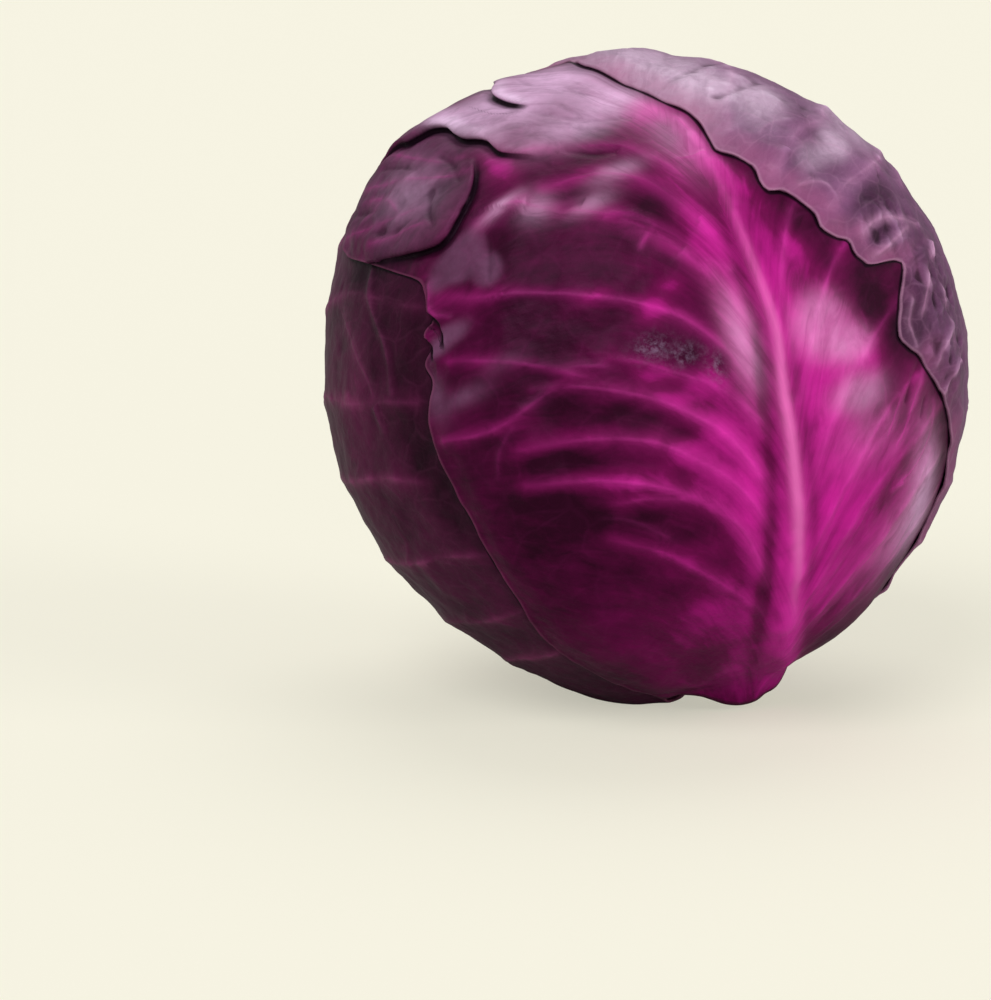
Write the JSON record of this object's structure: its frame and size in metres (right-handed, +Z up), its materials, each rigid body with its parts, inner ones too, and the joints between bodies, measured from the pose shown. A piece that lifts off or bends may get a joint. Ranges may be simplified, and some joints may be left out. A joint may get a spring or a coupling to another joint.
{
  "type": "red cabbage",
  "caption": "Whole red cabbage head: overlapping waxy purple outer leaves wrapped round a ball of nested inner leaves and a cream core.",
  "frame": {"origin": "middle of the small flat spot that the head rests on, 7 mm from the point straight under the head's centre", "axes": "+Z up; -Y towards the viewer of the front leaf with its midrib; +X to that viewer's right; the stem points down and to +X, 16.5 degrees off vertical"},
  "size_m": [0.1708, 0.1675, 0.1727],
  "materials": {
    "leaf_dark": "smooth dark purple leaf with a thin waxy bloom, satin",
    "leaf_glossy": "glossy magenta leaf with a pale pink midrib and veins",
    "leaf_bloom": "greyish lilac leaf under a matt waxy bloom",
    "leaf_inner": "smooth purple leaf, satin, paler towards its base",
    "leaf_heart": "pale lilac young leaf, satin",
    "core_flesh": "cream stem flesh, matt, dry and tan at the cut"
  },
  "bodies": {
    "root": {"outer_leaf_left": "leaf_dark", "outer_leaf_front": "leaf_glossy", "outer_leaf_back": "leaf_bloom", "inner_leaf_01": "leaf_inner", "inner_leaf_02": "leaf_inner", "inner_leaf_03": "leaf_inner", "inner_leaf_04": "leaf_inner", "inner_leaf_05": "leaf_inner", "inner_leaf_06": "leaf_inner", "inner_leaf_07": "leaf_inner", "inner_leaf_08": "leaf_inner", "inner_leaf_09": "leaf_inner", "inner_leaf_10": "leaf_inner", "inner_leaf_11": "leaf_inner", "inner_leaf_12": "leaf_inner", "inner_leaf_13": "leaf_heart", "inner_leaf_14": "leaf_heart", "inner_leaf_15": "leaf_heart", "inner_leaf_16": "leaf_heart", "inner_leaf_17": "leaf_heart", "inner_leaf_18": "leaf_heart", "core": "core_flesh", "heart_bud": "leaf_heart"}
  },
  "joints": []
}
